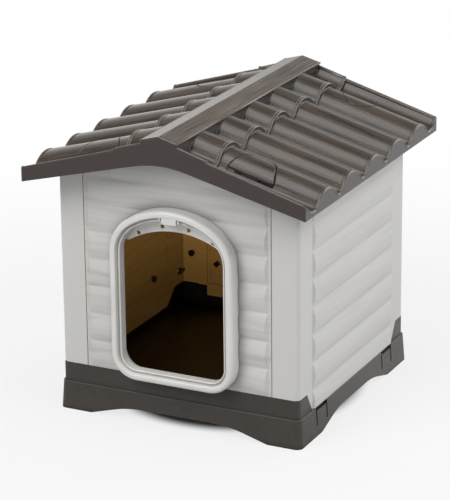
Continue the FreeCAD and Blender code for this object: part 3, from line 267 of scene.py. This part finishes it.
class Nodes:
    """A node tree that is built with short calls, whose values are numbers or sockets."""

    def __init__(self, tree):
        self.tree = tree
        tree.nodes.clear()

    def add(self, kind, inputs=None, **settings):
        """A new node with its settings, and its inputs set by name or number."""
        node = self.tree.nodes.new("ShaderNode" + kind)
        for name, value in settings.items():
            setattr(node, name, value)
        for name, value in (inputs or {}).items():
            self.set(node.inputs[name], value)
        return node

    def set(self, socket, value):
        if isinstance(value, bpy.types.NodeSocket):
            self.tree.links.new(value, socket)
        else:
            socket.default_value = value

    def calc(self, operation, first, second=0.0):
        return self.add("Math", {0: first, 1: second}, operation=operation).outputs["Value"]

    def plus(self, first, second):
        return self.calc("ADD", first, second)

    def times(self, *factors):
        total = factors[0]
        for factor in factors[1:]:
            total = self.calc("MULTIPLY", total, factor)
        return total

    def ramp(self, value, start, end, low=0.0, high=1.0):
        """`low` where the value is under `start`, `high` over `end`, smooth between."""
        inputs = {"Value": value, "From Min": start, "From Max": end, "To Min": low,
                  "To Max": high}
        return self.add("MapRange", inputs, interpolation_type="SMOOTHSTEP").outputs["Result"]

    def over(self, value, limit, blend=1 * MM):
        """1 where the value is over the limit and 0 under it, blended about the limit."""
        return self.ramp(value, limit - blend, limit + blend)

    def under(self, value, limit, blend=1 * MM):
        """1 where the value is under the limit and 0 over it, blended about the limit."""
        return self.ramp(value, limit + blend, limit - blend)

    def vector(self, x, y, z):
        return self.add("CombineXYZ", {0: x, 1: y, 2: z}).outputs["Vector"]

    def split(self, vector):
        return self.add("SeparateXYZ", {"Vector": vector}).outputs

    def vector_math(self, operation, output, first, second=(0, 0, 0)):
        return self.add("VectorMath", {0: first, 1: second}, operation=operation).outputs[output]

    def mix(self, factor, first, second):
        """The first colour where the factor is 0 and the second where it is 1."""
        inputs = {"Factor": factor, 6: first, 7: second}
        return self.add("Mix", inputs, data_type="RGBA").outputs[2]

    def mix_values(self, factor, first, second):
        inputs = {"Factor": factor, "A": first, "B": second}
        return self.add("Mix", inputs, data_type="FLOAT").outputs["Result"]

    def mix_shaders(self, factor, first, second):
        return self.add("MixShader", {0: factor, 1: first, 2: second}).outputs["Shader"]

    def rays(self, *names):
        """1 for the named kinds of ray and 0 for others."""
        path = self.add("LightPath")
        total = path.outputs[names[0]]
        for name in names[1:]:
            total = self.calc("MAXIMUM", total, path.outputs[name])
        return total

    def emission(self, strength):
        return self.add("Emission", {"Strength": strength}).outputs["Emission"]

    def background(self, strength):
        inputs = {"Color": (1, 1, 1, 1), "Strength": strength}
        return self.add("Background", inputs).outputs["Background"]


class Surface(Nodes):
    """A new material around one Principled shader."""

    def __init__(self, name):
        self.material = bpy.data.materials.new(name)
        self.material.use_nodes = True
        super().__init__(self.material.node_tree)
        self.shader = self.add("BsdfPrincipled")
        self.add("OutputMaterial", {"Surface": self.shader.outputs["BSDF"]})
        coordinates = self.add("TexCoord")
        self.place = coordinates.outputs["Object"]
        self.normal = coordinates.outputs["Normal"]
        self.x, self.y, self.z = self.split(self.place)

    def from_middle(self):
        """The distances from the kennel's middle to the side and along it."""
        return self.calc("ABSOLUTE", self.x), self.calc("ABSOLUTE", self.y)

    def noise(self, vector, scale=1.0, detail=3.0, roughness=0.5, distortion=0.0):
        inputs = {"Vector": vector, "Scale": scale, "Detail": detail, "Roughness": roughness,
                  "Distortion": distortion}
        return self.add("TexNoise", inputs).outputs["Fac"]

    def layered_noise(self, along, layers, level, detail, roughness=0.5, distortion=0.0):
        """Noise in level layers: `along` and `layers` are its cycles in a metre."""
        vector = self.vector(self.times(self.x, along), self.times(self.y, along),
                             self.times(level, layers))
        return self.noise(vector, 1.0, detail, roughness, distortion)

    def mould_skin(self):
        """Fine unevenness of a moulded surface, from 0 to 1."""
        return self.noise(self.place, MOULD_SKIN, 2.0, 0.6)

    def bump(self, height, distance, normal, strength):
        inputs = {"Height": height, "Distance": distance, "Normal": normal, "Strength": strength}
        return self.add("Bump", inputs).outputs["Normal"]

    def soft_edges(self, radius):
        bevel = self.add("Bevel", {"Radius": radius}, samples=SHADING_SAMPLES)
        return bevel.outputs["Normal"]

    def openness(self, distance):
        """1 on open surfaces, less in corners and recesses narrower than `distance`; the materials
        darken their colour by it, as painted shade.
        """
        inputs = {"Distance": distance}
        return self.add("AmbientOcclusion", inputs, samples=SHADING_SAMPLES).outputs["AO"]

    def finish(self, base, normal, roughness):
        self.set(self.shader.inputs["Base Color"], base)
        self.set(self.shader.inputs["Normal"], normal)
        self.set(self.shader.inputs["Roughness"], roughness)
        return self.material


# Materials

def colour(red, green, blue):
    """A colour from its usual 0 to 255 values, as linear light."""
    def linear(value):
        value /= 255
        return value / 12.92 if value <= 0.04045 else ((value + 0.055) / 1.055) ** 2.4
    return (linear(red), linear(green), linear(blue), 1.0)


def painted_inside_glow(s, across, inner, high):
    """A painted amber glow on the walls' inside, standing in for daylight through the plastic,
    strongest towards the corners.
    """
    faces_front = s.ramp(s.split(s.normal)["Y"], -0.6, -0.9)
    strength = s.times(inner, s.plus(0.16, s.times(faces_front, 0.2)))
    from_floor = s.ramp(s.z, 80 * MM, 240 * MM, 0.4, 1.0)
    to_corner = s.ramp(across, 40 * MM, 150 * MM, 0.12, 1.0)
    # The painted glow fades out where the inside is painted dark near the top.
    strength = s.times(strength, s.times(from_floor, s.calc("SUBTRACT", 1.0, high)))
    return s.mix(s.times(strength, to_corner), (0, 0, 0, 1), colour(180, 134, 68))


def wall_material():
    """Pale plastic with soft wood grain on its boards; its inside is painted amber with a painted
    glow, standing in for daylight through the plastic, and painted shade darkens its recesses, the
    inside near the roof and a band under the latch slots.
    """
    s = Surface("wall_plastic")
    across, depth = s.from_middle()
    on_side = s.under(depth, SIDE_BOARD_HALF_LENGTH)
    on_end = s.times(s.over(depth, END_BOARD_DEPTH), s.under(across, END_BOARD_HALF_LENGTH))
    boards = s.calc("MAXIMUM", on_side, on_end)
    wander = s.layered_noise(GRAIN_ALONG_BOARDS, WANDER_ACROSS_BOARDS, s.z, 2.0)
    level = s.plus(s.z, s.times(wander, on_end, 26 * MM))
    grain = s.layered_noise(GRAIN_ALONG_BOARDS, GRAIN_ACROSS_BOARDS, level, 4.0, 0.55, 0.2)
    broad = s.layered_noise(CLOUDS_ALONG_BOARDS, CLOUDS_ACROSS_BOARDS, level, 2.0)
    streaks = s.times(boards, s.ramp(grain, 0.45, 0.75))
    clouds = s.times(s.calc("MAXIMUM", on_end, s.times(on_side, 0.3)), s.ramp(broad, 0.45, 0.75))
    shade = s.plus(s.times(streaks, 0.3), s.times(clouds, 0.55))
    outside = s.mix(shade, colour(196, 195, 192), colour(172, 170, 168))
    # Painted shade: the colour is darker in corners, grooves and recesses.
    painted_recess_shade = s.ramp(s.openness(22 * MM), 0.45, 1.0, 0.4, 1.0)
    outside = s.mix(painted_recess_shade, colour(112, 110, 106), outside)

    # Painted light and shade: the inside is painted amber, standing in for daylight through the
    # plastic, and painted dark near the top as shade under the roof.
    painted_amber_light = s.mix(s.ramp(broad, 0.35, 0.7), colour(124, 92, 48), colour(84, 62, 32))
    high = s.ramp(s.z, 340 * MM, 400 * MM)
    painted_amber_light = s.mix(high, painted_amber_light, colour(34, 28, 20))
    outwards = s.vector_math("NORMALIZE", "Vector", s.vector(s.x, s.y, 0.0))
    inner = s.ramp(s.vector_math("DOT_PRODUCT", "Value", outwards, s.normal), -0.35, -0.55)
    base = s.mix(inner, outside, painted_amber_light)

    # Painted shadow: a dark band along the end walls' top edge, under the roof latches' slots.
    by_latch = s.times(s.over(across, LATCH_ZONE_START, 2 * MM),
                       s.under(across, LATCH_ZONE_END, 2 * MM),
                       s.over(depth, LATCH_ZONE_DEPTH, 5 * MM))
    over_line = s.calc("SUBTRACT", s.plus(s.z, s.times(across, SLOPE)), RIDGE_VALLEY_HEIGHT)
    painted_slot_shadow = s.times(by_latch, s.ramp(over_line, -6 * MM, -1 * MM))
    base = s.mix(painted_slot_shadow, base, colour(26, 24, 22))

    # Painted glow: the inside's amber emission stands in for daylight through the plastic and is no
    # lamp.
    s.set(s.shader.inputs["Emission Color"], painted_inside_glow(s, across, inner, high))
    s.shader.inputs["Emission Strength"].default_value = 1.0
    normal = s.bump(s.mould_skin(), 0.05 * MM, s.soft_edges(1.5 * MM), 0.5)
    normal = s.bump(s.times(boards, grain), 0.35 * MM, normal, 0.6)
    return s.finish(base, normal, s.plus(0.38, s.times(grain, 0.14)))


def frame_material():
    """The glossy pale plastic of the door frame and the ventilator's grille."""
    s = Surface("frame_plastic")
    clouds = s.noise(s.place, 14.0, 2.0)
    base = s.mix(s.ramp(clouds, 0.35, 0.7), colour(211, 210, 207), colour(205, 204, 201))
    # Painted shade: the colour is darker in recesses.
    base = s.mix(s.ramp(s.openness(9 * MM), 0.3, 0.9), colour(184, 181, 176), base)
    normal = s.bump(s.mould_skin(), 0.04 * MM, s.soft_edges(0.9 * MM), 0.4)
    return s.finish(base, normal, s.plus(0.2, s.times(s.mould_skin(), 0.12)))


def roof_material():
    """Brown plastic with wood grain down the tiles and along the ridge cap."""
    s = Surface("roof_plastic")
    across, depth = s.from_middle()
    on_cap = s.under(across, CAP_EDGE, 0.5 * MM)
    faces_up = s.ramp(s.split(s.normal)["Z"], 0.25, 0.45)
    grained = s.times(faces_up, s.under(depth, TILES_HALF_DEPTH),
                      s.under(across, EAVE_LIP_START, 0.5 * MM))
    shift = s.times(s.noise(s.place, 16.0, 2.0), 7 * MM)
    down_tiles = s.vector(s.times(s.x, GRAIN_ALONG_TILES),
                          s.times(s.plus(s.y, shift), GRAIN_ACROSS_TILES), 0.0)
    along_cap = s.vector(s.times(s.plus(s.x, shift), GRAIN_ACROSS_TILES),
                         s.times(s.y, GRAIN_ALONG_TILES), 3.0)
    tile_grain = s.noise(down_tiles, 1.0, 4.0, 0.6, 0.25)
    cap_grain = s.noise(along_cap, 1.0, 4.0, 0.6, 0.25)
    grain = s.plus(s.times(tile_grain, s.calc("SUBTRACT", 1.0, on_cap)),
                   s.times(cap_grain, on_cap))
    light_grain = s.mix(on_cap, colour(70, 59, 48), colour(92, 80, 67))
    streaks = s.times(grained, s.ramp(grain, 0.36, 0.66))
    base = s.mix(streaks, colour(34, 29, 25), light_grain)
    base = s.mix(grained, colour(66, 60, 57), base)
    # Painted shade: the colour is darker in the valleys, corners and recesses.
    base = s.mix(s.ramp(s.openness(34 * MM), 0.25, 0.85), colour(20, 18, 17), base)
    satin = s.plus(0.16, s.times(on_cap, 0.08))
    normal = s.bump(s.mould_skin(), 0.05 * MM, s.soft_edges(2.4 * MM), 0.5)
    normal = s.bump(s.times(grained, grain), 0.22 * MM, normal, 0.6)
    return s.finish(base, normal, s.plus(0.19, s.times(grained, grain, satin)))


def base_material():
    """The base's satin brown plastic, with painted shade: nearly black in the cabin and darker in
    its recesses.
    """
    s = Surface("base_plastic")
    clouds = s.noise(s.place, 9.0)
    mottle = s.noise(s.place, 130.0)
    shade = s.plus(s.times(s.ramp(clouds, 0.35, 0.7), 0.5), s.times(s.ramp(mottle, 0.35, 0.7), 0.5))
    base = s.mix(shade, colour(66, 61, 56), colour(57, 52, 48))
    # Painted shade: the colour is darker in corners and recesses.
    base = s.mix(s.ramp(s.openness(14 * MM), 0.3, 0.9), colour(18, 16, 15), base)
    across, depth = s.from_middle()
    # Painted shade: the cabin's inside is painted nearly black.
    painted_cabin_shade = s.times(s.under(across, CABIN_HALF_WIDTH), s.under(depth, CABIN_HALF_DEPTH),
                       s.over(s.z, CABIN_FLOOR_HEIGHT))
    base = s.mix(painted_cabin_shade, base, colour(6, 4, 3))
    normal = s.bump(s.mould_skin(), 0.06 * MM, s.soft_edges(1.5 * MM), 0.5)
    normal = s.bump(mottle, 0.25 * MM, normal, 0.5)
    return s.finish(base, normal, s.plus(0.32, s.times(mottle, 0.16)))


def plain_material(name, first, second, roughness, metal=0.0):
    """A small part's plastic, rubber or steel, with slight mottling."""
    s = Surface(name)
    s.shader.inputs["Metallic"].default_value = metal
    clouds = s.noise(s.place, 300.0)
    base = s.mix(s.ramp(clouds, 0.35, 0.65), first, second)
    normal = s.bump(s.mould_skin(), 0.04 * MM, s.soft_edges(0.5 * MM), 0.5)
    return s.finish(base, normal, s.plus(roughness - 0.05, s.times(clouds, 0.1)))


def assign(material, *names):
    """Gives nodes one material."""
    for name in names:
        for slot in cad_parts[name].material_slots:
            slot.material = material


def dress_nodes():
    """Gives every node its material."""
    assign(wall_material(), "right_side_panel", "left_side_panel", "front_panel", "back_panel")
    assign(frame_material(), "door_frame", "vent_grille")
    assign(roof_material(), "roof_shell", "roof_latch_front_right", "roof_latch_front_left",
           "roof_latch_rear_right", "roof_latch_rear_left")
    assign(base_material(), "base_tray")
    assign(plain_material("stud_plastic", colour(60, 42, 22), colour(50, 34, 18), 0.35),
           "round_studs", "winged_studs", "diamond_studs")
    assign(plain_material("pin_steel", colour(84, 80, 76), colour(72, 69, 66), 0.35, 1.0),
           "roof_latch_pins")
    assign(plain_material("plug_plastic", colour(74, 67, 61), colour(66, 60, 55), 0.4),
           "drain_plug")
    assign(plain_material("seal_rubber", colour(34, 34, 34), colour(28, 28, 28), 0.7),
           "drain_seal")
    assign(plain_material("shutter_plastic", colour(86, 78, 71), colour(76, 69, 63), 0.38),
           "vent_shutter")


# The studio

def add_world():
    """Light that is strongest from the horizon, a white backdrop and a dim room before it."""
    world = bpy.data.worlds.new("studio")
    world.use_nodes = True
    n = Nodes(world.node_tree)
    direction = n.split(n.add("TexCoord").outputs["Generated"])
    lighting = n.background(n.ramp(direction["Z"], *AMBIENT_FADE, AMBIENT_HORIZON,
                                   AMBIENT_OVERHEAD))
    backdrop = n.ramp(direction["Z"], *BACKDROP_FADE, 1.0, ROOM_GREY)
    mirrored = n.background(n.mix_values(n.ramp(direction["Y"], *BACKDROP_SIDE), ROOM_GREY,
                                         backdrop))
    shader = n.mix_shaders(n.rays("Is Glossy Ray"), lighting, mirrored)
    shader = n.mix_shaders(n.rays("Is Camera Ray", "Is Transmission Ray"), shader,
                           n.background(1.0))
    n.add("OutputWorld", {"Surface": shader})
    bpy.context.scene.world = world


def floor_material():
    """Pale paper under soft shadow, which is mirrored darker in front of the kennel."""
    material = bpy.data.materials.new("floor_paper")
    material.use_nodes = True
    n = Nodes(material.node_tree)
    grey = (FLOOR_GREY, FLOOR_GREY, FLOOR_GREY, 1)
    paper = n.add("BsdfDiffuse", {"Color": grey}).outputs["BSDF"]
    place = n.add("TexCoord").outputs["Object"]
    distance = n.vector_math("LENGTH", "Value", place)
    white_part = n.times(n.ramp(distance, *FLOOR_FADE, FLOOR_WHITE_SHARE, 1.0),
                         n.ramp(distance, *FLOOR_UNDER_KENNEL))
    mirrored = n.emission(n.ramp(n.split(place)["Y"], *FLOOR_MIRRORED_FADE, ROOM_GREY,
                                 FLOOR_MIRRORED_GREY))
    shader = n.mix_shaders(n.rays("Is Glossy Ray"), paper, mirrored)
    seen = n.times(white_part, n.rays("Is Camera Ray", "Is Transmission Ray"))
    shader = n.mix_shaders(seen, shader, n.emission(1.0))
    n.add("OutputMaterial", {"Surface": shader})
    return material


def add_floor():
    data = bpy.data.meshes.new("floor")
    half = FLOOR_HALF_WIDTH
    data.from_pydata([(-half, -half, 0), (half, -half, 0), (half, half, 0), (-half, half, 0)],
                     [], [(0, 1, 2, 3)])
    data.materials.append(floor_material())
    floor = bpy.data.objects.new("floor", data)
    bpy.context.scene.collection.objects.link(floor)


def direction_of(azimuth, elevation):
    """The unit vector towards an azimuth measured from the front, and an elevation."""
    azimuth, elevation = math.radians(azimuth), math.radians(elevation)
    return Vector((math.sin(azimuth) * math.cos(elevation),
                   -math.cos(azimuth) * math.cos(elevation), math.sin(elevation)))


def add_softbox(name, azimuth, elevation, distance, width, level):
    """A square lamp facing the kennel."""
    data = bpy.data.lights.new(name, "AREA")
    data.size = width
    data.energy = level * math.pi ** 2 * distance ** 2
    lamp = bpy.data.objects.new(name, data)
    bpy.context.scene.collection.objects.link(lamp)
    towards = direction_of(azimuth, elevation)
    lamp.location = LAMP_TARGET + distance * towards
    lamp.rotation_euler = towards.to_track_quat("Z", "Y").to_euler()


def add_camera():
    back = direction_of(CAMERA_AZIMUTH, CAMERA_ELEVATION)
    level_right = Vector((0, 0, 1)).cross(back).normalized()
    level_up = back.cross(level_right)
    right = math.cos(CAMERA_ROLL) * level_right + math.sin(CAMERA_ROLL) * level_up
    up = back.cross(right)
    turn = Matrix((right, up, back)).transposed()
    data = bpy.data.cameras.new("camera")
    data.lens = CAMERA_LENS
    data.sensor_width = CAMERA_SENSOR_WIDTH
    data.clip_end = CAMERA_FAR_END
    camera = bpy.data.objects.new("camera", data)
    bpy.context.scene.collection.objects.link(camera)
    camera.matrix_world = (Matrix.Translation(CAMERA_TARGET + CAMERA_DISTANCE * back)
                           @ turn.to_4x4())
    bpy.context.scene.camera = camera


def main():
    dress_nodes()
    add_roof_lips(plain_material("roof_lip", colour(86, 79, 73), colour(78, 71, 66), 0.2))
    add_world()
    add_floor()
    for lamp in LAMPS:
        add_softbox(*lamp)
    add_camera()
    bpy.context.scene.view_settings.view_transform = "Standard"


main()
